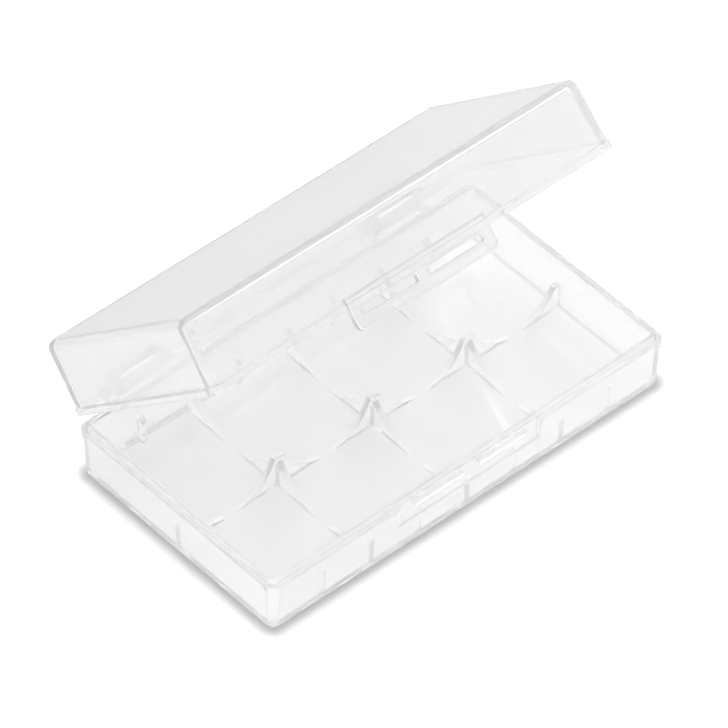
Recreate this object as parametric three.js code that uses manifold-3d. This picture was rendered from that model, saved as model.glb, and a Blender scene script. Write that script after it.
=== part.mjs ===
// A two-piece pocket case for loose round cells: a clear polypropylene tray and a snap-hinged lid.
// Millimetres, +Z up. The origin is the middle of the tray's underside, +X runs along the long
// side, and -Y is the latch side. The lid stands part open, as such a case is shown when empty.

import * as THREE from "three";
import { mergeVertices } from "three/addons/utils/BufferGeometryUtils.js";
import Module from "manifold-3d";

// Driving dimensions of the closed case
const caseLength = 76;
const caseWidth = 43;
const trayHeight = 9.4;
const lidHeight = 11.7;
const wallThickness = 1.2;
const floorThickness = 1.1;
const openAngle = THREE.MathUtils.degToRad(42.5);

// Moulding: draft over a wall's height, corners, and the proud band round each rim
const draft = 0.3;
const trayCornerRadius = 1.9;
const lidCornerRadius = 2.1;
const leastRadius = 0.35;
const trayBottomRadius = 1;
const lidTopRadius = 1.4;
const innerEdgeRadius = 0.7;
const bandProud = 0.25;
const bandHeight = 1.1;

// Rim joint: a tongue on the tray enters a rabbet in the lid
const tongueInset = 0.8;
const tongueHeight = 1;
const rimClearance = 0.12;

// Cradle: short cells lie across the case in four bays, long cells lie along it in two
const shortBays = 4;
const longBays = 2;
const shortCellRadius = 8.75;
const longSaddleRadius = 11.5;
const saddleDip = 0.05;
const cuspHeight = 5.8;
const hornHeight = 4.6;
const plateThickness = 1;

// Stops: small ribs on the long walls that centre the short cells
const stopWidth = 1.1;
const stopDepth = 1.25;
const stopHeight = 4.5;
const stopRounding = 1.1;

// Snap hinge: two stations, each a bar between ears on the tray and an open hook on the lid
const hingeSpacing = 48.6;
const hingeWidth = 11.4;
const barRadius = 1;
const hookClearance = 0.25;
const hookThickness = 0.75;
const hookMouth = 1.7;
const hookGusset = 1.6;
const sideClearance = 0.4;
const wallClearance = 0.3;
const earThickness = 1.6;
const earRadius = 1.7;
const earGusset = 4.4;
const hingeRise = 0.4;
const hingeRoot = 0.6;
const windowOverhang = 0.25;
const windowRise = 0.4;
const windowHeight = 0.7;

// Latch: a tab on the lid with two slots that snap over two catches in a recess of the tray
const tabWidth = 26.3;
const tabDrop = 3.4;
const tabRise = 2;
const tabProud = 0.8;
const tabClearance = 0.3;
const tabCornerRadius = 1.2;
const tabBevel = 0.4;
const slotLength = 10.2;
const slotHeight = 1.2;
const slotBridge = 2.2;
const slotBelowRim = 0.25;
const catchHeight = 0.8;
const catchProud = 0.7;
const catchEndGap = 0.5;
const recessDepth = 0.6;
const recessMargin = 0.5;
const padThickness = 0.7;
const padDrop = 1.2;

// Facets and the overrun of every cut
const cornerSteps = 6;
const filletSteps = 4;
const arcSegments = 14;
const roundSegments = 28;
const overrun = 1;

// Places worked out from the driving dimensions
const halfLength = caseLength / 2;
const halfWidth = caseWidth / 2;
const wallInset = bandProud + wallThickness;
const tongueTop = trayHeight + tongueHeight;
const lidRim = trayHeight + rimClearance;
const lidTop = trayHeight + lidHeight;
const ceiling = lidTop - floorThickness;
const innerLength = caseLength - 2 * wallInset;
const innerWidth = caseWidth - 2 * wallInset;
const shortPitch = innerLength / shortBays;
const longPitch = innerWidth / longBays;
const boreRadius = barRadius + hookClearance;
const hookRadius = boreRadius + hookThickness;
const hingeAxisY = halfWidth + wallClearance + hookRadius;
const hingeAxisZ = trayHeight + hingeRise;
const slotCentreX = (slotLength + slotBridge) / 2;
const slotCentreZ = lidRim - slotBelowRim - slotHeight / 2;

const wasm = await Module();
wasm.setup();

// A closed three.js geometry as a solid that can be joined and cut.
function solidFrom(geometry) {
  const bare = geometry.index ? geometry.toNonIndexed() : geometry.clone();
  bare.deleteAttribute("normal");
  bare.deleteAttribute("uv");
  const merged = mergeVertices(bare);
  return new wasm.Manifold(
    new wasm.Mesh({
      numProp: 3,
      vertProperties: Float32Array.from(merged.attributes.position.array),
      triVerts: Uint32Array.from(merged.index.array),
    }),
  );
}

function geometryFrom(solid) {
  const mesh = solid.getMesh();
  const geometry = new THREE.BufferGeometry();
  geometry.setAttribute("position", new THREE.BufferAttribute(Float32Array.from(mesh.vertProperties), 3));
  geometry.setIndex(new THREE.BufferAttribute(Uint32Array.from(mesh.triVerts), 1));
  geometry.computeVertexNormals();
  return geometry;
}

const joined = (solids) => solids.reduce((all, solid) => all.add(solid));

// One ring of a drafted, round-cornered wall, counter-clockwise from above.
function wallRing(inset, z, cornerRadius) {
  const radius = Math.max(cornerRadius - inset, leastRadius);
  const cornerX = halfLength - inset - radius;
  const cornerY = halfWidth - inset - radius;
  const corners = [
    [cornerX, cornerY],
    [-cornerX, cornerY],
    [-cornerX, -cornerY],
    [cornerX, -cornerY],
  ];
  return corners.flatMap(([x, y], quarter) =>
    Array.from({ length: cornerSteps + 1 }, (_, step) => {
      const angle = ((quarter + step / cornerSteps) * Math.PI) / 2;
      return new THREE.Vector3(x + radius * Math.cos(angle), y + radius * Math.sin(angle), z);
    }),
  );
}

// Sweeps a wall profile of [inset, z] points, from the bottom up, round the case's plan.
function sweptBody(profile, cornerRadius) {
  const rings = profile.map(([inset, z]) => wallRing(inset, z, cornerRadius));
  const count = rings[0].length;
  const points = rings.flat();
  const bottomCentre = points.push(new THREE.Vector3(0, 0, profile[0][1])) - 1;
  const topCentre = points.push(new THREE.Vector3(0, 0, profile[profile.length - 1][1])) - 1;
  const faces = [];
  for (let side = 0; side < count; side += 1) {
    const next = (side + 1) % count;
    for (let ring = 0; ring < rings.length - 1; ring += 1) {
      const low = ring * count;
      const high = low + count;
      faces.push(low + side, low + next, high + next, low + side, high + next, high + side);
    }
    const last = (rings.length - 1) * count;
    faces.push(bottomCentre, next, side, topCentre, last + side, last + next);
  }
  const geometry = new THREE.BufferGeometry().setFromPoints(points);
  geometry.setIndex(faces);
  return solidFrom(geometry);
}

// A quarter-round at a wall's foot, from the level z up to the wall at this inset.
function footRound(inset, z, radius) {
  return Array.from({ length: filletSteps + 1 }, (_, step) => {
    const angle = (step / filletSteps) * (Math.PI / 2);
    return [inset + radius * (1 - Math.sin(angle)), z + radius * (1 - Math.cos(angle))];
  });
}

// A quarter-round at a wall's head, from the wall at this inset up to the level z.
function headRound(inset, z, radius) {
  return Array.from({ length: filletSteps + 1 }, (_, step) => {
    const angle = (step / filletSteps) * (Math.PI / 2);
    return [inset + radius * (1 - Math.cos(angle)), z - radius * (1 - Math.sin(angle))];
  });
}

// Extrudes an outline drawn in (x, z) along Y, centred on y.
function extrudedAlongY(outline, depth, y) {
  const geometry = new THREE.ExtrudeGeometry(outline, {
    depth,
    bevelEnabled: false,
    curveSegments: arcSegments,
  });
  const turn = new THREE.Matrix4().makeBasis(
    new THREE.Vector3(1, 0, 0),
    new THREE.Vector3(0, 0, 1),
    new THREE.Vector3(0, -1, 0),
  );
  return solidFrom(geometry.applyMatrix4(turn).translate(0, y + depth / 2, 0));
}

// Extrudes an outline drawn in (y, z) along X, centred on x.
function extrudedAlongX(outline, depth, x) {
  const geometry = new THREE.ExtrudeGeometry(outline, {
    depth,
    bevelEnabled: false,
    curveSegments: arcSegments,
  });
  const turn = new THREE.Matrix4().makeBasis(
    new THREE.Vector3(0, 1, 0),
    new THREE.Vector3(0, 0, 1),
    new THREE.Vector3(1, 0, 0),
  );
  return solidFrom(geometry.applyMatrix4(turn).translate(x - depth / 2, 0, 0));
}

const outlineThrough = (points) => new THREE.Shape(points.map(([u, v]) => new THREE.Vector2(u, v)));

function rodAlongX(radius, length, x, y, z) {
  const geometry = new THREE.CylinderGeometry(radius, radius, length, roundSegments);
  return solidFrom(geometry.rotateZ(Math.PI / 2).translate(x, y, z));
}

// Where a saddle's arc meets a top of the given height, as an angle below the horizontal.
function saddleEdge(radius, rise, reach) {
  const level = Math.asin((rise - radius) / radius);
  return Math.cos(level) * radius > reach ? -Math.acos(reach / radius) : level;
}

// The outline of a cradle plate: round saddles side by side that run out into the floor, pointed
// cusps between them and a half cusp, or horn, against the wall at each end.
function cradleOutline(bays, pitch, radius) {
  const end = (bays * pitch) / 2 + wallThickness / 2;
  const saddleBottom = floorThickness - saddleDip;
  const foot = floorThickness / 2;
  const outline = new THREE.Shape();
  outline.moveTo(-end, foot);
  outline.lineTo(end, foot);
  outline.lineTo(end, saddleBottom + hornHeight);
  for (let bay = bays - 1; bay >= 0; bay -= 1) {
    const centre = (bay - (bays - 1) / 2) * pitch;
    const rightRise = bay === bays - 1 ? hornHeight : cuspHeight;
    const leftRise = bay === 0 ? hornHeight : cuspHeight;
    const right = saddleEdge(radius, rightRise, pitch / 2);
    const left = saddleEdge(radius, leftRise, pitch / 2);
    outline.absarc(centre, saddleBottom + radius, radius, right, -Math.PI - left, true);
  }
  outline.lineTo(-end, saddleBottom + hornHeight);
  outline.closePath();
  return outline;
}

// The tray: floor, drafted walls, proud rim band and the tongue that the lid's rabbet covers
function trayShell() {
  const outside = [
    ...footRound(bandProud + draft, 0, trayBottomRadius),
    [bandProud, trayHeight - bandHeight - bandProud],
    [0, trayHeight - bandHeight],
    [0, trayHeight],
    [tongueInset, trayHeight],
    [tongueInset + rimClearance, tongueTop],
  ];
  const inside = [
    ...footRound(wallInset + draft, floorThickness, innerEdgeRadius),
    [wallInset, tongueTop],
    [wallInset, tongueTop + overrun],
  ];
  return sweptBody(outside, trayCornerRadius).subtract(sweptBody(inside, trayCornerRadius));
}

// Crossed cradle plates: one along the case for the short cells, and three across it
function cradlePlates() {
  const along = extrudedAlongY(cradleOutline(shortBays, shortPitch, shortCellRadius), plateThickness, 0);
  const across = Array.from({ length: shortBays - 1 }, (_, index) =>
    extrudedAlongX(
      cradleOutline(longBays, longPitch, longSaddleRadius),
      plateThickness,
      (index + 1 - shortBays / 2) * shortPitch,
    ),
  );
  return joined([along, ...across]);
}

// Stops on both long walls, at the middle of each short bay, with their tops rounded off
function cellStops() {
  const wallFace = halfWidth - wallInset;
  const top = floorThickness + stopHeight;
  const root = wallFace + wallThickness / 2;
  const outline = new THREE.Shape();
  outline.moveTo(root, floorThickness / 2);
  outline.lineTo(wallFace - stopDepth, floorThickness / 2);
  outline.lineTo(wallFace - stopDepth, top - stopRounding);
  outline.absarc(wallFace - stopDepth + stopRounding, top - stopRounding, stopRounding, Math.PI, Math.PI / 2, true);
  outline.lineTo(root, top);
  outline.closePath();
  const stops = Array.from({ length: shortBays }, (_, bay) =>
    extrudedAlongX(outline, stopWidth, (bay - (shortBays - 1) / 2) * shortPitch),
  );
  const back = joined(stops);
  return back.add(back.mirror([0, 1, 0]));
}

// One hinge station of the tray: two gusseted ears that hold a bar clear of the back wall
function trayHinge(station) {
  const earOffset = (hingeWidth - earThickness) / 2;
  const foot = hingeAxisY - hookRadius - wallClearance - hingeRoot;
  const shoulder = hingeAxisZ - hingeRise - bandProud;
  const gusset = outlineThrough([
    [foot, shoulder],
    [foot, hingeAxisZ - earGusset],
    [hingeAxisY + earRadius * Math.SQRT1_2, hingeAxisZ - earRadius * Math.SQRT1_2],
    [hingeAxisY + earRadius / 2, shoulder],
  ]);
  const ears = [-1, 1].map((side) => {
    const x = station + side * earOffset;
    return extrudedAlongX(gusset, earThickness, x).add(
      rodAlongX(earRadius, earThickness, x, hingeAxisY, hingeAxisZ),
    );
  });
  return joined([...ears, rodAlongX(barRadius, hingeWidth - earThickness, station, hingeAxisY, hingeAxisZ)]);
}

// The slot through the back wall's foot at each hinge, left by the mould's core
function hingeWindow(station) {
  const inner = halfWidth - wallInset - draft - innerEdgeRadius;
  const sill = floorThickness + windowRise;
  const outline = outlineThrough([
    [inner, sill],
    [halfWidth + overrun, sill],
    [halfWidth + overrun, sill + windowHeight],
    [inner, sill + windowHeight],
  ]);
  return extrudedAlongX(outline, hingeWidth + 2 * windowOverhang, station);
}

// The recess for the latch tab, and the pad that keeps the wall behind it thick
function latchRecess() {
  const face = -halfWidth + recessDepth;
  const bottom = lidRim - tabDrop - recessMargin;
  const outline = outlineThrough([
    [-halfWidth - overrun, bottom - recessDepth],
    [-halfWidth, bottom - recessDepth],
    [face, bottom],
    [face, trayHeight + rimClearance / 2],
    [-halfWidth - overrun, trayHeight + rimClearance / 2],
  ]);
  return extrudedAlongX(outline, tabWidth + 2 * recessMargin, 0);
}

function latchPad() {
  const wallFace = -halfWidth + wallInset;
  const bottom = lidRim - tabDrop - recessMargin - padDrop;
  const outline = outlineThrough([
    [wallFace - wallThickness / 2, bottom - padThickness],
    [wallFace, bottom - padThickness],
    [wallFace + padThickness, bottom],
    [wallFace + padThickness, trayHeight - rimClearance],
    [wallFace, tongueTop],
    [wallFace - rimClearance, tongueTop],
    [wallFace - rimClearance, trayHeight - rimClearance],
    [wallFace - wallThickness / 2, trayHeight - rimClearance],
  ]);
  return extrudedAlongX(outline, tabWidth + 2 * recessMargin, 0);
}

// Two ramped ridges in the recess that the tab's slots snap over
function latchCatches() {
  const face = -halfWidth + recessDepth;
  const top = slotCentreZ + catchHeight / 2;
  const bottom = slotCentreZ - catchHeight / 2;
  const outline = outlineThrough([
    [face + wallThickness / 2, bottom],
    [face + wallThickness / 2, top],
    [face, top],
    [face - catchProud, slotCentreZ],
    [face - catchProud, bottom],
  ]);
  const catches = [-1, 1].map((side) =>
    extrudedAlongX(outline, slotLength - 2 * catchEndGap, side * slotCentreX),
  );
  return joined(catches);
}

function trayGeometry() {
  const stations = [-hingeSpacing / 2, hingeSpacing / 2];
  const body = joined([trayShell(), cradlePlates(), cellStops(), latchPad(), ...stations.map(trayHinge)]);
  const cut = joined([latchRecess(), ...stations.map(hingeWindow)]);
  return geometryFrom(body.subtract(cut).add(latchCatches()));
}

// The lid: walls, round-edged top, proud rim band and the rabbet that takes the tray's tongue
function lidShell() {
  const outside = [
    [0, lidRim],
    [0, trayHeight + bandHeight],
    [bandProud, trayHeight + bandHeight + bandProud],
    ...headRound(bandProud + draft, lidTop, lidTopRadius),
  ];
  const rabbetInset = tongueInset - rimClearance;
  const inside = [
    [rabbetInset, lidRim - overrun],
    [rabbetInset, tongueTop + rimClearance],
    [wallInset, tongueTop + rimClearance],
    ...headRound(wallInset + draft, ceiling, innerEdgeRadius),
  ];
  return sweptBody(outside, lidCornerRadius).subtract(sweptBody(inside, lidCornerRadius));
}

// One open hook of the lid, which snaps over the tray's bar
function lidHook(station) {
  const width = hingeWidth - 2 * earThickness - 2 * sideClearance;
  const foot = hingeAxisY - hookRadius - wallClearance - hingeRoot;
  const crown = hingeAxisZ + hookRadius;
  const arm = outlineThrough([
    [foot, lidRim],
    [hingeAxisY, lidRim],
    [hingeAxisY, crown],
    [hingeAxisY - hookRadius - wallClearance + bandProud, crown + hookGusset],
    [foot, crown + hookGusset],
  ]);
  const mouth = outlineThrough([
    [hingeAxisY - hookMouth / 2, hingeAxisZ],
    [hingeAxisY - hookMouth / 2, hingeAxisZ - hookRadius - overrun],
    [hingeAxisY + hookMouth / 2, hingeAxisZ - hookRadius - overrun],
    [hingeAxisY + hookMouth / 2, hingeAxisZ],
  ]);
  return extrudedAlongX(arm, width, station)
    .add(rodAlongX(hookRadius, width, station, hingeAxisY, hingeAxisZ))
    .subtract(rodAlongX(boreRadius, width + overrun, station, hingeAxisY, hingeAxisZ))
    .subtract(extrudedAlongX(mouth, width + overrun, station));
}

// The latch tab: a plate on the outside of the front wall, with round corners and two slots
function latchTab() {
  const back = -halfWidth + tabClearance;
  const front = -halfWidth - tabProud;
  const bottom = lidRim - tabDrop;
  const top = lidRim + tabRise;
  const section = outlineThrough([
    [back, bottom],
    [back, top],
    [front + tabBevel, top],
    [front, top - tabBevel],
    [front, bottom + tabBevel],
    [front + tabBevel, bottom],
  ]);
  const reach = tabWidth / 2;
  const plan = new THREE.Shape();
  plan.moveTo(-reach, top + overrun);
  plan.lineTo(-reach, bottom + tabCornerRadius);
  plan.absarc(-reach + tabCornerRadius, bottom + tabCornerRadius, tabCornerRadius, Math.PI, 1.5 * Math.PI, false);
  plan.absarc(reach - tabCornerRadius, bottom + tabCornerRadius, tabCornerRadius, -Math.PI / 2, 0, false);
  plan.lineTo(reach, top + overrun);
  plan.closePath();
  const depth = 2 * (tabProud + tabClearance) + overrun;
  const plate = extrudedAlongX(section, tabWidth, 0).intersect(extrudedAlongY(plan, depth, -halfWidth));
  const slots = [-1, 1].map((side) => {
    const end = (slotLength - slotHeight) / 2;
    const slot = new THREE.Shape();
    slot.absarc(side * slotCentreX + end, slotCentreZ, slotHeight / 2, -Math.PI / 2, Math.PI / 2, false);
    slot.absarc(side * slotCentreX - end, slotCentreZ, slotHeight / 2, Math.PI / 2, 1.5 * Math.PI, false);
    slot.closePath();
    return extrudedAlongY(slot, depth, -halfWidth);
  });
  return plate.subtract(joined(slots));
}

function lidGeometry() {
  const hooks = [-hingeSpacing / 2, hingeSpacing / 2].map(lidHook);
  return geometryFrom(joined([lidShell(), latchTab(), ...hooks]));
}

const polypropylene = { roughness: 0.35, metalness: 0, transparent: true, opacity: 0.75 };

function trayMesh() {
  const material = new THREE.MeshStandardMaterial({ color: 0xeceeef, ...polypropylene });
  const mesh = new THREE.Mesh(trayGeometry(), material);
  mesh.name = "cell_tray";
  return mesh;
}

// The lid is made shut, in the tray's frame, and hangs from a pivot on the hinge axis.
function lidAssembly() {
  const material = new THREE.MeshStandardMaterial({ color: 0xe6e8ea, ...polypropylene });
  const mesh = new THREE.Mesh(lidGeometry(), material);
  mesh.name = "latch_lid";
  mesh.position.set(0, -hingeAxisY, -hingeAxisZ);
  const pivot = new THREE.Group();
  pivot.position.set(0, hingeAxisY, hingeAxisZ);
  pivot.rotation.x = -openAngle;
  pivot.add(mesh);
  return pivot;
}

const batteryCase = new THREE.Group();
batteryCase.add(trayMesh(), lidAssembly());

export default batteryCase;
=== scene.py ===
import math

import bmesh
import bpy
from mathutils import Matrix, Vector


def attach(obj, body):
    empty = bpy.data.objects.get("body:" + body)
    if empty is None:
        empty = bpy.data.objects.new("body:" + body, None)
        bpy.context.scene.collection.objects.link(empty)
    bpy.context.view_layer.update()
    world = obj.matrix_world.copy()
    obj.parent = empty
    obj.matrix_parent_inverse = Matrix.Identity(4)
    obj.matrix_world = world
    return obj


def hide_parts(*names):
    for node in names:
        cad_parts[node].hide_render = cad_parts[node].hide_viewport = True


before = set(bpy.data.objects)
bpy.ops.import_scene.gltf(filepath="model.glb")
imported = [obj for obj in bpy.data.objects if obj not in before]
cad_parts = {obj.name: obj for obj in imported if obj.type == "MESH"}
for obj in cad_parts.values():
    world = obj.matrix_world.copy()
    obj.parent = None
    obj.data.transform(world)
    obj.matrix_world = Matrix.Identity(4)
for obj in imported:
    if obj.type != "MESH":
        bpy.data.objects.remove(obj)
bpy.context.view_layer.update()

# The table and the light: a white table in a white room, brighter above the latch side, and a soft
# lamp low behind on the right. The table keeps the case's shadow, a thin dark line of painted
# shadow is put in its colour round the foot, and it shows a little greyer through plastic, where
# the painted line fades.
table_size = 2.4
table_white = (0.8, 0.8, 0.8, 1)
table_glow = 0.3
table_roughness = 0.9
plastic_share = 0.5
table_gap = 0.00005
foot_length = 0.0729
foot_width = 0.0399
foot_corner = 0.00035
contact_reach = 0.0031
contact_line = 0.1
contact_shade = (0.45, 0.45, 0.45, 1)
contact_fade = 0.7
bright_side = Vector((0.0, -0.75, 0.66))
bright_level = 0.98
dim_level = 0.45
lens_level = 0.97
bounces = 24
lamp_place = Vector((0.66, 0.54, 0.42))
lamp_size = 0.65
lamp_power = 4.4
lamp_aim = Vector((0, 0, 0.02))
pure_white = (1, 1, 1, 1)


def seen_through_the_lens(tree):
    """One where the camera sees a surface, and a share of that in gloss or through plastic."""
    path = tree.nodes.new("ShaderNodeLightPath")
    second_hand = tree.nodes.new("ShaderNodeMath")
    second_hand.operation = "MAXIMUM"
    tree.links.new(path.outputs["Is Glossy Ray"], second_hand.inputs[0])
    tree.links.new(path.outputs["Is Transmission Ray"], second_hand.inputs[1])
    weaker = tree.nodes.new("ShaderNodeMath")
    weaker.operation = "MULTIPLY"
    weaker.inputs[1].default_value = plastic_share
    tree.links.new(second_hand.outputs["Value"], weaker.inputs[0])
    seen = tree.nodes.new("ShaderNodeMath")
    seen.operation = "MAXIMUM"
    tree.links.new(path.outputs["Is Camera Ray"], seen.inputs[0])
    tree.links.new(weaker.outputs["Value"], seen.inputs[1])
    return seen.outputs["Value"]


table_paint = bpy.data.materials.new("table_paint")
table_paint.use_nodes = True
tree = table_paint.node_tree
paint = tree.nodes["Principled BSDF"]
paint.inputs["Roughness"].default_value = table_roughness
paint.inputs["Specular IOR Level"].default_value = 0.0
# Painted shadow: the table's colour darkens in a thin line just outside the case's foot, by
# distance from the foot's outline.
onwards = tree.nodes.new("ShaderNodeTexCoord").outputs["Object"]
for step, reach in (
    ("ABSOLUTE", None),
    ("SUBTRACT", (foot_length / 2 - foot_corner, foot_width / 2 - foot_corner, table_size)),
    ("MAXIMUM", (0, 0, 0)),
    ("LENGTH", None),
):
    outside = tree.nodes.new("ShaderNodeVectorMath")
    outside.operation = step
    tree.links.new(onwards, outside.inputs[0])
    if reach:
        outside.inputs[1].default_value = reach
    onwards = outside.outputs["Value" if step == "LENGTH" else "Vector"]
span = tree.nodes.new("ShaderNodeMapRange")
span.inputs["From Min"].default_value = foot_corner
span.inputs["From Max"].default_value = foot_corner + contact_reach
tree.links.new(onwards, span.inputs["Value"])
painted_shadow = tree.nodes.new("ShaderNodeValToRGB")
tree.links.new(span.outputs["Result"], painted_shadow.inputs["Fac"])
shades = painted_shadow.color_ramp
shades.interpolation = "EASE"
shades.elements[0].color = pure_white
shades.elements[1].color = pure_white
shades.elements.new(contact_line).color = contact_shade
# Where the table is seen through plastic, the painted shadow line is weaker.
behind_plastic = tree.nodes.new("ShaderNodeMath")
behind_plastic.operation = "MULTIPLY"
behind_plastic.inputs[1].default_value = contact_fade
path = tree.nodes.new("ShaderNodeLightPath")
tree.links.new(path.outputs["Is Transmission Ray"], behind_plastic.inputs[0])
faded = tree.nodes.new("ShaderNodeMix")
faded.data_type = "RGBA"
faded.inputs["B"].default_value = pure_white
tree.links.new(behind_plastic.outputs["Value"], faded.inputs["Factor"])
tree.links.new(painted_shadow.outputs["Color"], faded.inputs["A"])
paint_mix = tree.nodes.new("ShaderNodeMix")
paint_mix.data_type = "RGBA"
paint_mix.blend_type = "MULTIPLY"
paint_mix.inputs["Factor"].default_value = 1.0
paint_mix.inputs["A"].default_value = table_white
tree.links.new(faded.outputs["Result"], paint_mix.inputs["B"])
tree.links.new(paint_mix.outputs["Result"], paint.inputs["Base Color"])
glow = tree.nodes.new("ShaderNodeMath")
glow.operation = "MULTIPLY"
glow.inputs[1].default_value = table_glow
tree.links.new(seen_through_the_lens(tree), glow.inputs[0])
tree.links.new(faded.outputs["Result"], paint.inputs["Emission Color"])
tree.links.new(glow.outputs["Value"], paint.inputs["Emission Strength"])

bm = bmesh.new()
bmesh.ops.create_grid(bm, x_segments=2, y_segments=2, size=table_size / 2)
bmesh.ops.translate(bm, vec=(0, 0, -table_gap), verts=bm.verts)
table_top = bpy.data.objects.new("table_top", bpy.data.meshes.new("table_top"))
bm.to_mesh(table_top.data)
bm.free()
table_top.data.materials.append(table_paint)
bpy.context.scene.collection.objects.link(table_top)

room = bpy.data.worlds.new("white_room")
room.use_nodes = True
tree = room.node_tree
air = tree.nodes["Background"]
air.inputs["Color"].default_value = pure_white
facing = tree.nodes.new("ShaderNodeVectorMath")
facing.operation = "DOT_PRODUCT"
facing.inputs[1].default_value = bright_side
tree.links.new(tree.nodes.new("ShaderNodeTexCoord").outputs["Generated"], facing.inputs[0])
walls = tree.nodes.new("ShaderNodeMapRange")
walls.inputs["From Min"].default_value = -1.0
walls.inputs["From Max"].default_value = 1.0
walls.inputs["To Min"].default_value = dim_level
walls.inputs["To Max"].default_value = bright_level
tree.links.new(facing.outputs["Value"], walls.inputs["Value"])
level = tree.nodes.new("ShaderNodeMix")
level.data_type = "FLOAT"
level.inputs["B"].default_value = lens_level
tree.links.new(seen_through_the_lens(tree), level.inputs["Factor"])
tree.links.new(walls.outputs["Result"], level.inputs["A"])
tree.links.new(level.outputs["Result"], air.inputs["Strength"])
bpy.context.scene.world = room
bpy.context.scene.view_settings.view_transform = "Standard"
bpy.context.scene.cycles.max_bounces = bounces
bpy.context.scene.cycles.glossy_bounces = bounces
bpy.context.scene.cycles.transmission_bounces = bounces

lamp = bpy.data.lights.new("window_lamp", "AREA")
lamp.shape = "SQUARE"
lamp.size = lamp_size
lamp.energy = lamp_power
lamp_stand = bpy.data.objects.new("window_lamp", lamp)
lamp_stand.location = lamp_place
lamp_stand.rotation_euler = (lamp_aim - lamp_place).to_track_quat("-Z", "Y").to_euler()
lamp_stand.visible_glossy = False
bpy.context.scene.collection.objects.link(lamp_stand)

# The camera: a long lens that looks down on the latch side from the left, level with the table's
# far edge. Its place and turn were matched to the case's own edges.
camera_place = Vector((-0.59773, -0.67697, 0.94586))
to_right = Vector((0.751257, -0.660009, 0.001029))
upwards = Vector((0.473597, 0.540158, 0.695654))
backwards = Vector((-0.459694, -0.522128, 0.718376))
focal_length = 445.1

lens = bpy.data.cameras.new("long_lens")
lens.sensor_width = 36.0
lens.lens = focal_length
lens.clip_start = 0.05
lens.clip_end = 20
camera = bpy.data.objects.new("long_lens", lens)
turn = Matrix((to_right, upwards, backwards)).transposed().to_4x4()
camera.matrix_world = Matrix.Translation(camera_place) @ turn
bpy.context.scene.collection.objects.link(camera)
bpy.context.scene.camera = camera

# The plastic of both mouldings: clear polypropylene, which is a little milky in its thickness,
# glossy where the mould was polished and faintly uneven where the melt ran and shrank.
haze_loss = 0.04
plastic_ior = 1.45
slant_from = 0.55
shade_share = 0.89
shade_at_edge = 0.75
shade_from = 0.6
grain_share = 0.35
ripple_height = 0.0004
haze_low = 0.3
haze_high = 0.7

flow = bpy.data.node_groups.new("melt_flow", "ShaderNodeTree")
for name, value in (("Flow Scale", 60.0), ("Grain Scale", 900.0), ("Depth", 0.1)):
    socket = flow.interface.new_socket(name=name, in_out="INPUT", socket_type="NodeSocketFloat")
    socket.default_value = value
flow.interface.new_socket(name="Haze", in_out="OUTPUT", socket_type="NodeSocketFloat")
flow.interface.new_socket(name="Normal", in_out="OUTPUT", socket_type="NodeSocketVector")
given = flow.nodes.new("NodeGroupInput")
result = flow.nodes.new("NodeGroupOutput")
place = flow.nodes.new("ShaderNodeTexCoord")
waves = flow.nodes.new("ShaderNodeTexNoise")
waves.inputs["Detail"].default_value = 2.0
waves.inputs["Distortion"].default_value = 0.6
flow.links.new(place.outputs["Object"], waves.inputs["Vector"])
flow.links.new(given.outputs["Flow Scale"], waves.inputs["Scale"])
grain = flow.nodes.new("ShaderNodeTexNoise")
grain.inputs["Detail"].default_value = 3.0
flow.links.new(place.outputs["Object"], grain.inputs["Vector"])
flow.links.new(given.outputs["Grain Scale"], grain.inputs["Scale"])
haze = flow.nodes.new("ShaderNodeMix")
haze.data_type = "FLOAT"
haze.inputs["Factor"].default_value = grain_share
flow.links.new(waves.outputs["Fac"], haze.inputs["A"])
flow.links.new(grain.outputs["Fac"], haze.inputs["B"])
flow.links.new(haze.outputs["Result"], result.inputs["Haze"])
ripple = flow.nodes.new("ShaderNodeBump")
ripple.inputs["Distance"].default_value = ripple_height
flow.links.new(given.outputs["Depth"], ripple.inputs["Strength"])
flow.links.new(haze.outputs["Result"], ripple.inputs["Height"])
flow.links.new(ripple.outputs["Normal"], result.inputs["Normal"])


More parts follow.
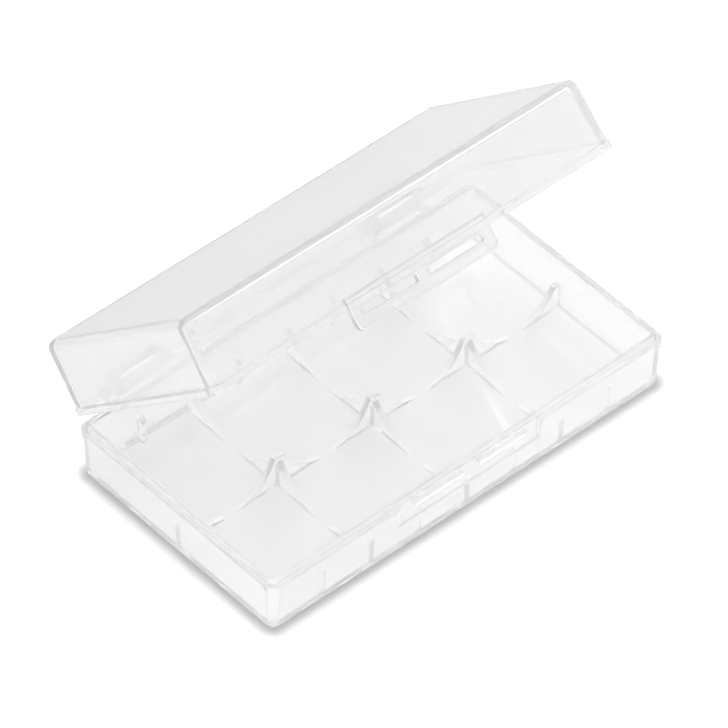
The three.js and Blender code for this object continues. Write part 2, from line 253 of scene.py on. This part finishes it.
def clear_plastic(name, tint, deep_tint, milk, veil, smooth, rough, flow_scale, depth):
    """Polypropylene as moulded: clear and glossy, a little milky, and casting a light shadow."""
    made = bpy.data.materials.new(name)
    made.use_nodes = True
    tree = made.node_tree
    body = tree.nodes["Principled BSDF"]
    body.inputs["IOR"].default_value = plastic_ior
    body.inputs["Transmission Weight"].default_value = 1.0 - milk
    cloud = tree.nodes.new("ShaderNodeGroup")
    cloud.node_tree = flow
    cloud.inputs["Flow Scale"].default_value = flow_scale
    cloud.inputs["Depth"].default_value = depth
    tree.links.new(cloud.outputs["Normal"], body.inputs["Normal"])
    hue = tree.nodes.new("ShaderNodeMix")
    hue.data_type = "RGBA"
    hue.inputs["A"].default_value = (tint, tint, tint, 1)
    hue.inputs["B"].default_value = (tint - haze_loss, tint - haze_loss, tint - haze_loss, 1)
    tree.links.new(cloud.outputs["Haze"], hue.inputs["Factor"])
    slant = tree.nodes.new("ShaderNodeLayerWeight")
    slant.inputs["Blend"].default_value = 0.5
    depth_seen = tree.nodes.new("ShaderNodeMapRange")
    depth_seen.inputs["From Min"].default_value = slant_from
    depth_seen.inputs["From Max"].default_value = 1.0
    tree.links.new(slant.outputs["Facing"], depth_seen.inputs["Value"])
    deep = tree.nodes.new("ShaderNodeMix")
    deep.data_type = "RGBA"
    deep.inputs["B"].default_value = (deep_tint, deep_tint, deep_tint, 1)
    tree.links.new(depth_seen.outputs["Result"], deep.inputs["Factor"])
    tree.links.new(hue.outputs["Result"], deep.inputs["A"])
    tree.links.new(deep.outputs["Result"], body.inputs["Base Color"])
    gloss = tree.nodes.new("ShaderNodeMapRange")
    gloss.inputs["From Min"].default_value = haze_low
    gloss.inputs["From Max"].default_value = haze_high
    gloss.inputs["To Min"].default_value = smooth
    gloss.inputs["To Max"].default_value = rough
    tree.links.new(cloud.outputs["Haze"], gloss.inputs["Value"])
    tree.links.new(gloss.outputs["Result"], body.inputs["Roughness"])
    glow = tree.nodes.new("ShaderNodeBsdfTranslucent")
    tree.links.new(hue.outputs["Result"], glow.inputs["Color"])
    tree.links.new(cloud.outputs["Normal"], glow.inputs["Normal"])
    veiled = tree.nodes.new("ShaderNodeMixShader")
    veiled.inputs["Fac"].default_value = veil
    tree.links.new(body.outputs["BSDF"], veiled.inputs[1])
    tree.links.new(glow.outputs["BSDF"], veiled.inputs[2])
    path = tree.nodes.new("ShaderNodeLightPath")
    shade = tree.nodes.new("ShaderNodeMapRange")
    shade.inputs["From Min"].default_value = shade_from
    shade.inputs["From Max"].default_value = 1.0
    shade.inputs["To Min"].default_value = shade_share
    shade.inputs["To Max"].default_value = shade_at_edge
    tree.links.new(slant.outputs["Facing"], shade.inputs["Value"])
    through = tree.nodes.new("ShaderNodeBsdfTransparent")
    tree.links.new(shade.outputs["Result"], through.inputs["Color"])
    cast = tree.nodes.new("ShaderNodeMixShader")
    tree.links.new(path.outputs["Is Shadow Ray"], cast.inputs["Fac"])
    tree.links.new(veiled.outputs["Shader"], cast.inputs[1])
    tree.links.new(through.outputs["BSDF"], cast.inputs[2])
    tree.links.new(cast.outputs["Shader"], tree.nodes["Material Output"].inputs["Surface"])
    return made


tray_plastic = clear_plastic(
    "tray_plastic", tint=0.985, deep_tint=0.97, milk=0.12, veil=0.16,
    smooth=0.01, rough=0.04, flow_scale=55.0, depth=0.02,
)
lid_plastic = clear_plastic(
    "lid_plastic", tint=0.985, deep_tint=0.47, milk=0.18, veil=0.08,
    smooth=0.03, rough=0.08, flow_scale=45.0, depth=0.03,
)

# The tray's shell: a floor, drafted walls, a proud band round the rim and the thin tongue that
# the lid's rabbet covers. It comes out of the mould in one shot with all that stands in it.
case_length = 0.076
case_width = 0.043
tray_height = 0.0094
tongue_height = 0.001
tongue_inset = 0.0008
rim_clearance = 0.00012
wall = 0.0012
band_proud = 0.00025
band_height = 0.0011
wall_inset = band_proud + wall
tongue_top = tray_height + tongue_height
draft = 0.0003
floor = 0.0011
tray_corner = 0.0019
tray_inner_corner = 0.0008
tray_foot_round = 0.001
tray_floor_round = 0.00045
corner_steps = 10
round_steps = 6
edge_round = 0.0001


def plan_sheet(bm, inset, corner, z, facing):
    """A sheet in the shape of the case's plan, with round corners, facing up or down."""
    before = set(bm.faces)
    sheet = bmesh.ops.create_grid(bm, x_segments=1, y_segments=1, size=0.5)["verts"]
    size = (case_length - 2 * inset, case_width - 2 * inset, 1)
    bmesh.ops.scale(bm, vec=size, verts=sheet)
    bmesh.ops.translate(bm, vec=(0, 0, z), verts=sheet)
    bmesh.ops.bevel(
        bm, geom=sheet, offset=corner, offset_type="OFFSET", segments=corner_steps,
        profile=0.5, material=-1, affect="VERTICES",
    )
    made = next(f for f in bm.faces if f not in before)
    made.normal_update()
    if made.normal.z * facing < 0:
        made.normal_flip()
    return made


def draw_wall(bm, sheet, steps):
    """Draws a wall from the sheet's edge: each step takes the sheet inwards and onwards."""
    for inwards, onwards in steps:
        bmesh.ops.inset_region(
            bm, faces=[sheet], use_boundary=True, use_even_offset=True,
            thickness=inwards, depth=onwards,
        )


def rounding(radius):
    """The steps of a quarter round, from a wall over to a floor or ceiling."""
    turns = [i / round_steps * math.pi / 2 for i in range(round_steps + 1)]
    return [
        (radius * (math.cos(a) - math.cos(b)), radius * (math.sin(b) - math.sin(a)))
        for a, b in zip(turns, turns[1:])
    ]


def open_ring(bm, sheet):
    """Takes the sheet away and gives the ring of edges that it leaves."""
    ring = list(sheet.edges)
    bmesh.ops.delete(bm, geom=[sheet], context="FACES_ONLY")
    return ring


def soften(bm, width, least=40.0):
    """Rounds every edge that turns by more than the least angle, as a mould's edges are."""
    hard = [
        e for e in bm.edges
        if len(e.link_faces) == 2 and e.calc_face_angle(0.0) > math.radians(least)
    ]
    bmesh.ops.bevel(
        bm, geom=hard, offset=width, offset_type="OFFSET", segments=2, profile=0.5,
        material=-1, affect="EDGES", clamp_overlap=True,
    )


def as_piece(bm, name):
    """Turns the mesh in hand into an object in the scene."""
    piece = bpy.data.objects.new(name, bpy.data.meshes.new(name))
    bm.to_mesh(piece.data)
    bm.free()
    bpy.context.scene.collection.objects.link(piece)
    return piece


def close_up(bm):
    """Joins the walls drawn so far into one closed shell that faces outwards."""
    bmesh.ops.remove_doubles(bm, verts=bm.verts, dist=1e-6)
    bmesh.ops.recalc_face_normals(bm, faces=bm.faces)


bm = bmesh.new()
outside = plan_sheet(bm, 0, tray_corner, tray_height, -1)
draw_wall(bm, outside, [
    (0, band_height),
    (band_proud, band_proud),
    (draft, tray_height - band_height - band_proud - tray_foot_round),
    *rounding(tray_foot_round),
])
tongue = plan_sheet(bm, 0, tray_corner, tray_height, 1)
draw_wall(bm, tongue, [(tongue_inset, 0), (rim_clearance, tongue_height)])
outer_ring = open_ring(bm, tongue)
outer_faces = set(bm.faces)
cavity = plan_sheet(bm, wall_inset, tray_inner_corner, tongue_top, -1)
draw_wall(bm, cavity, [
    (draft, tongue_top - floor - tray_floor_round),
    *rounding(tray_floor_round),
])
inner_faces = [f for f in bm.faces if f not in outer_faces]
inner_ring = {e for f in inner_faces for e in f.edges if e.is_boundary}
bmesh.ops.reverse_faces(bm, faces=inner_faces)
bmesh.ops.bridge_loops(bm, edges=outer_ring + list(inner_ring))
close_up(bm)
soften(bm, edge_round)
cell_tray = as_piece(bm, "cell_tray_moulding")

# The cradle: four thin plates that stand up from the tray's floor. The one along the case has
# round saddles for short cells, and the three across it have wider saddles for long cells.
# Where they cross, their tips meet in four-armed stars.
short_bays = 4
long_bays = 2
short_cell = 0.00875
long_saddle = 0.0115
saddle_bite = 0.00005
cusp_height = 0.0058
horn_height = 0.0046
saddle_floor = floor - saddle_bite
cusp_top = saddle_floor + cusp_height
horn_top = saddle_floor + horn_height
plate = 0.001
plate_edge = 0.00014
saddle_facets = 96
inner_length = case_length - 2 * wall_inset
inner_width = case_width - 2 * wall_inset
short_pitch = inner_length / short_bays
long_pitch = inner_width / long_bays
root = wall / 2
nearly_flat = math.radians(0.5)


def block(bm, low, high):
    """A block between two corners."""
    cube = bmesh.ops.create_cube(bm, size=1)["verts"]
    size = Vector(high) - Vector(low)
    bmesh.ops.scale(bm, vec=size, verts=cube)
    bmesh.ops.translate(bm, vec=(Vector(high) + Vector(low)) / 2, verts=cube)
    return cube


def roller(bm, radius, length, middle, across=False, facets=saddle_facets):
    """A round bar along X, or across the case along Y."""
    turned = Matrix.Rotation(math.pi / 2, 4, "X" if across else "Y")
    return bmesh.ops.create_cone(
        bm, cap_ends=True, segments=facets, radius1=radius, radius2=radius, depth=length,
        matrix=Matrix.Translation(middle) @ turned,
    )["verts"]


def worked(body, tool, way):
    """Joins the tool's form to the body, or cuts it out of it, and takes the tool away."""
    joint = body.modifiers.new("joint", "BOOLEAN")
    joint.operation = way
    joint.solver = "EXACT"
    joint.object = tool
    at_work = bpy.context.evaluated_depsgraph_get()
    made = bpy.data.meshes.new_from_object(body.evaluated_get(at_work))
    made.name = body.name
    body.modifiers.clear()
    body.data = made
    bpy.data.objects.remove(tool)


def softened(body, width, least=40.0):
    """Rounds the hard edges of an object."""
    bm = bmesh.new()
    bm.from_mesh(body.data)
    bmesh.ops.dissolve_limit(bm, angle_limit=nearly_flat, verts=bm.verts, edges=bm.edges)
    soften(bm, width, least)
    bm.to_mesh(body.data)
    bm.free()
    return body


def cradle_plate(low, high, saddles, across):
    """One plate: a thin block with its end horns lowered and its round saddles milled out."""
    bm = bmesh.new()
    block(bm, low, high)
    made = as_piece(bm, "plate")
    bm = bmesh.new()
    reach = high[1] if across else high[0]
    for side in (-1, 1):
        ends = sorted((side * (reach - root - short_pitch / 4), side * (reach + plate)))
        if across:
            horn = ((low[0] - plate, high[0] + plate), ends)
        else:
            horn = (ends, (low[1] - plate, high[1] + plate))
        block(bm, (horn[0][0], horn[1][0], horn_top), (horn[0][1], horn[1][1], high[2] + plate))
    worked(made, as_piece(bm, "horns"), "DIFFERENCE")
    for radius, middle in saddles:
        bm = bmesh.new()
        roller(bm, radius, 4 * plate, middle, across=not across)
        worked(made, as_piece(bm, "cell"), "DIFFERENCE")
    return softened(made, plate_edge)


worked(cell_tray, cradle_plate(
    (-inner_length / 2 - root, -plate / 2, floor / 2),
    (inner_length / 2 + root, plate / 2, cusp_top),
    [
        (short_cell, ((bay - (short_bays - 1) / 2) * short_pitch, 0, saddle_floor + short_cell))
        for bay in range(short_bays)
    ],
    across=False,
), "UNION")
for crossing in (-1, 0, 1):
    x = crossing * short_pitch
    seat = saddle_floor + long_saddle
    worked(cell_tray, cradle_plate(
        (x - plate / 2, -inner_width / 2 - root, floor / 2),
        (x + plate / 2, inner_width / 2 + root, cusp_top),
        [
            (long_saddle, (x, (bay - (long_bays - 1) / 2) * long_pitch, seat))
            for bay in range(long_bays)
        ],
        across=True,
    ), "UNION")

# The stops: eight small ribs on the long walls, in the middle of each short bay, which keep short
# cells clear of the wall. Their tops are rounded towards the bay.
stop_width = 0.0011
stop_depth = 0.00125
stop_height = 0.0045
stop_top = floor + stop_height
stop_rounding = 0.0011
same_place = 1e-7
for bay in range(short_bays):
    x = (bay - (short_bays - 1) / 2) * short_pitch
    bm = bmesh.new()
    face = inner_width / 2 - stop_depth
    block(
        bm,
        (x - stop_width / 2, face, floor / 2),
        (x + stop_width / 2, inner_width / 2 + root, stop_top),
    )
    brow = [
        e for e in bm.edges
        if all(abs(v.co.y - face) < same_place for v in e.verts)
        and all(abs(v.co.z - stop_top) < same_place for v in e.verts)
    ]
    bmesh.ops.bevel(
        bm, geom=brow, offset=stop_rounding, offset_type="OFFSET", segments=10, profile=0.5,
        material=-1, affect="EDGES",
    )
    soften(bm, edge_round)
    bmesh.ops.mirror(bm, geom=bm.verts[:] + bm.edges[:] + bm.faces[:], axis="Y", merge_dist=0)
    bmesh.ops.recalc_face_normals(bm, faces=bm.faces)
    worked(cell_tray, as_piece(bm, "stops"), "UNION")

# The tray's half of the hinge: at each of two places a short bar between a pair of gusseted ears,
# moulded clear of the back wall, with a narrow slot at the wall's foot that the mould's core left.
hinge_places = (-0.0243, 0.0243)
hinge_width = 0.0114
bar = 0.001
hook_clearance = 0.00025
hook_thickness = 0.00075
hook_outside = bar + hook_clearance + hook_thickness
wall_clearance = 0.0003
hinge_root = 0.0006
hinge_y = case_width / 2 + wall_clearance + hook_outside
hinge_rise = 0.0004
hinge_z = tray_height + hinge_rise
hinge_shoulder = tray_height - band_proud
ear = 0.0016
ear_round = 0.0017
ear_drop = 0.0044
ear_heel = ear_round * 0.2
window_rise = 0.0004
window_gap = 0.0007
window_low = floor + window_rise
window_high = window_low + window_gap
hinge_facets = 48
for place in hinge_places:
    for side in (-1, 1):
        x = place + side * (hinge_width - ear) / 2
        bm = bmesh.new()
        gusset = block(
            bm,
            (x - ear / 2, hinge_y - hook_outside - wall_clearance - hinge_root, hinge_z - ear_drop),
            (x + ear / 2, hinge_y + ear_round * math.sqrt(0.5), hinge_shoulder),
        )
        toe = [v for v in gusset if v.co.y > hinge_y and v.co.z < hinge_z - ear_round]
        bmesh.ops.translate(bm, vec=(0, 0, ear_drop - ear_round * math.sqrt(0.5)), verts=toe)
        heel = [v for v in gusset if v.co.y > hinge_y and v.co.z > hinge_shoulder - bar / 2]
        bmesh.ops.translate(bm, vec=(0, -ear_heel, 0), verts=heel)
        soften(bm, edge_round)
        worked(cell_tray, as_piece(bm, "gusset"), "UNION")
        bm = bmesh.new()
        roller(bm, ear_round, ear + edge_round / 2, (x, hinge_y, hinge_z), facets=hinge_facets)
        soften(bm, edge_round)
        worked(cell_tray, as_piece(bm, "eye"), "UNION")
    bm = bmesh.new()
    roller(bm, bar, hinge_width - ear, (place, hinge_y, hinge_z), facets=hinge_facets)
    worked(cell_tray, as_piece(bm, "bar"), "UNION")
    bm = bmesh.new()
    block(
        bm,
        (place - hinge_width / 2 - hook_clearance, inner_width / 2 - draft - wall, window_low),
        (place + hinge_width / 2 + hook_clearance, case_width / 2 + wall, window_high),
    )
    worked(cell_tray, as_piece(bm, "window"), "DIFFERENCE")

# The tray's half of the latch: a shallow recess in the front wall, a pad that keeps the wall
# behind it thick, and two ramped catches that the tab's slots snap over.
tab_width = 0.0263
tab_drop = 0.0034
lid_rim = tray_height + rim_clearance
recess = 0.0006
recess_margin = 0.0005
recess_low = lid_rim - tab_drop - recess_margin
pad = 0.0007
pad_root = 0.0004
pad_drop = 0.0012
pad_low = recess_low - pad_drop
slot_length = 0.0102
slot_height = 0.0012
slot_bridge = 0.0022
slot_middle = (slot_length + slot_bridge) / 2
slot_drop = 0.00025
slot_corner = slot_height * 0.3
slot_level = lid_rim - slot_drop - slot_height / 2
catch_height = 0.0008
catch_proud = 0.0007
catch_gap = 0.0005
front = -case_width / 2
reach = tab_width / 2 + recess_margin

bm = bmesh.new()
swell = block(
    bm,
    (-reach, front + wall_inset - pad_root, pad_low - pad),
    (reach, front + wall_inset + pad, tongue_top - rim_clearance),
)
slope = [v for v in swell if v.co.y > front + wall_inset and v.co.z < pad_low]
bmesh.ops.translate(bm, vec=(0, 0, pad), verts=slope)
slope = [v for v in swell if v.co.y > front + wall_inset and v.co.z > tray_height]
bmesh.ops.translate(bm, vec=(0, 0, -tongue_height), verts=slope)
soften(bm, edge_round, least=25.0)
worked(cell_tray, as_piece(bm, "pad"), "UNION")

bm = bmesh.new()
pocket = block(
    bm,
    (-reach, front - wall, recess_low - recess - wall),
    (reach, front + recess, tray_height + rim_clearance / 2),
)
slope = [v for v in pocket if v.co.y > front and v.co.z < recess_low]
bmesh.ops.translate(bm, vec=(0, 0, recess + wall), verts=slope)
worked(cell_tray, as_piece(bm, "pocket"), "DIFFERENCE")

bm = bmesh.new()
for side in (-1, 1):
    left = side * slot_middle - slot_length / 2 + catch_gap
    right = side * slot_middle + slot_length / 2 - catch_gap
    catch = block(
        bm,
        (left, front + recess - catch_proud, slot_level - catch_height / 2),
        (right, front + recess + root, slot_level + catch_height / 2),
    )
    ramp = [v for v in catch if v.co.y < front + recess and v.co.z > slot_level]
    bmesh.ops.translate(bm, vec=(0, 0, -catch_height / 2), verts=ramp)
soften(bm, edge_round)
worked(cell_tray, as_piece(bm, "catches"), "UNION")

# Out of the mould: both mouldings have their seams closed and their faces shaded as smooth rounds
# between true flats, then get their plastic and their place in the case.
pinhole = 0.000012
pinhole_sides = 12
crease = math.radians(32)


def finished(piece, plastic, body, node):
    """Closes a moulding's last pinholes and gives it its finish and its place in the case."""
    bm = bmesh.new()
    bm.from_mesh(piece.data)
    bmesh.ops.remove_doubles(bm, verts=[v for v in bm.verts if v.is_boundary], dist=pinhole)
    bmesh.ops.holes_fill(bm, edges=[e for e in bm.edges if e.is_boundary], sides=pinhole_sides)
    bmesh.ops.recalc_face_normals(bm, faces=bm.faces)
    bm.to_mesh(piece.data)
    bm.free()
    for face in piece.data.polygons:
        face.use_smooth = True
    piece.data.set_sharp_from_angle(angle=crease)
    flats = piece.modifiers.new("flats", "WEIGHTED_NORMAL")
    flats.keep_sharp = True
    flats.weight = 100
    piece.data.materials.clear()
    piece.data.materials.append(plastic)
    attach(piece, body)
    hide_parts(node)


finished(cell_tray, tray_plastic, "tray", "cell_tray")

# The lid's shell: a round-edged top and drafted walls with a proud band round the rim. A rabbet
# inside the rim goes over the tray's tongue. It is modelled shut, then opened as it stands.
lid_height = 0.0117
lid_corner = 0.0021
lid_inner_corner = 0.0012
lid_top_round = 0.0014
lid_ceiling_round = 0.0006
lid_top = tray_height + lid_height
ceiling = lid_top - floor
rabbet_inset = tongue_inset - rim_clearance
rabbet_top = tongue_top + rim_clearance
open_angle = math.radians(42.5)

bm = bmesh.new()
outside = plan_sheet(bm, 0, lid_corner, lid_rim, 1)
draw_wall(bm, outside, [
    (0, tray_height + band_height - lid_rim),
    (band_proud, band_proud),
    (draft, lid_height - band_height - band_proud - lid_top_round),
    *rounding(lid_top_round),
])
rabbet = plan_sheet(bm, 0, lid_corner, lid_rim, -1)
draw_wall(bm, rabbet, [(rabbet_inset, 0), (0, lid_rim - rabbet_top)])
outer_ring = open_ring(bm, rabbet)
outer_faces = set(bm.faces)
cavity = plan_sheet(bm, wall_inset, lid_inner_corner, rabbet_top, 1)
draw_wall(bm, cavity, [
    (draft, ceiling - rabbet_top - lid_ceiling_round),
    *rounding(lid_ceiling_round),
])
inner_faces = [f for f in bm.faces if f not in outer_faces]
inner_ring = {e for f in inner_faces for e in f.edges if e.is_boundary}
bmesh.ops.reverse_faces(bm, faces=inner_faces)
bmesh.ops.bridge_loops(bm, edges=outer_ring + list(inner_ring))
close_up(bm)
soften(bm, edge_round)
latch_lid = as_piece(bm, "latch_lid_moulding")

# The lid's half of the hinge: two open hooks that snap over the tray's bars, each on a short arm
# with a gusset up the back wall.
side_clearance = 0.0004
hook_mouth = 0.0017
hook_gusset = 0.0016
hook_width = hinge_width - 2 * ear - 2 * side_clearance
crown = hinge_z + hook_outside
for place in hinge_places:
    bm = bmesh.new()
    arm = block(
        bm,
        (place - hook_width / 2, hinge_y - hook_outside - wall_clearance - hinge_root, lid_rim),
        (place + hook_width / 2, hinge_y, crown + hook_gusset),
    )
    outer = [v for v in arm if v.co.y > hinge_y - bar and v.co.z > crown]
    bmesh.ops.translate(bm, vec=(0, 0, -hook_gusset), verts=outer)
    soften(bm, edge_round)
    made = as_piece(bm, "arm")
    bm = bmesh.new()
    pin = (place, hinge_y, hinge_z)
    roller(bm, hook_outside, hook_width + edge_round / 2, pin, facets=hinge_facets)
    soften(bm, edge_round)
    worked(made, as_piece(bm, "hook"), "UNION")
    bm = bmesh.new()
    roller(bm, bar + hook_clearance, 2 * hook_width, pin, facets=hinge_facets)
    worked(made, as_piece(bm, "bore"), "DIFFERENCE")
    bm = bmesh.new()
    block(
        bm,
        (place - hook_width, hinge_y - hook_mouth / 2, hinge_z - hook_outside - wall),
        (place + hook_width, hinge_y + hook_mouth / 2, hinge_z),
    )
    worked(made, as_piece(bm, "mouth"), "DIFFERENCE")
    worked(latch_lid, made, "UNION")

# The latch tab: a plate on the outside of the lid's front wall, with round lower corners and two
# slots through it, which bends out and snaps over the tray's catches.
tab_rise = 0.002
tab_proud = 0.0008
tab_clearance = 0.0003
tab_corner = 0.0012
tab_edge = 0.0003
tab_rim_turn = math.radians(60)
tab_face = front - tab_proud
bm = bmesh.new()
block(
    bm,
    (-tab_width / 2, tab_face, lid_rim - tab_drop),
    (tab_width / 2, front + tab_clearance, lid_rim + tab_rise),
)
corners = [
    e for e in bm.edges
    if all(v.co.z < lid_rim - tab_drop / 2 for v in e.verts)
    and abs(e.verts[0].co.x - e.verts[1].co.x) < same_place
]
bmesh.ops.bevel(
    bm, geom=corners, offset=tab_corner, offset_type="OFFSET", segments=8, profile=0.5,
    material=-1, affect="EDGES",
)
made = as_piece(bm, "tab")
for side in (-1, 1):
    bm = bmesh.new()
    block(
        bm,
        (side * slot_middle - slot_length / 2, tab_face - wall, slot_level - slot_height / 2),
        (side * slot_middle + slot_length / 2, front + wall, slot_level + slot_height / 2),
    )
    ends = [e for e in bm.edges if abs(e.verts[0].co.y - e.verts[1].co.y) > wall]
    bmesh.ops.bevel(
        bm, geom=ends, offset=slot_corner, offset_type="OFFSET", segments=6,
        profile=0.5, material=-1, affect="EDGES",
    )
    worked(made, as_piece(bm, "slot"), "DIFFERENCE")
bm = bmesh.new()
bm.from_mesh(made.data)
rim = [
    e for e in bm.edges
    if all(abs(v.co.y - tab_face) < same_place for v in e.verts)
    and e.calc_face_angle(0.0) > tab_rim_turn
]
bmesh.ops.bevel(
    bm, geom=rim, offset=tab_edge, offset_type="OFFSET", segments=3, profile=0.5,
    material=-1, affect="EDGES",
)
bm.to_mesh(made.data)
bm.free()
worked(latch_lid, made, "UNION")

pivot = Vector((0, hinge_y, hinge_z))
latch_lid.data.transform(
    Matrix.Translation(pivot) @ Matrix.Rotation(-open_angle, 4, "X") @ Matrix.Translation(-pivot)
)
finished(latch_lid, lid_plastic, "lid", "latch_lid")
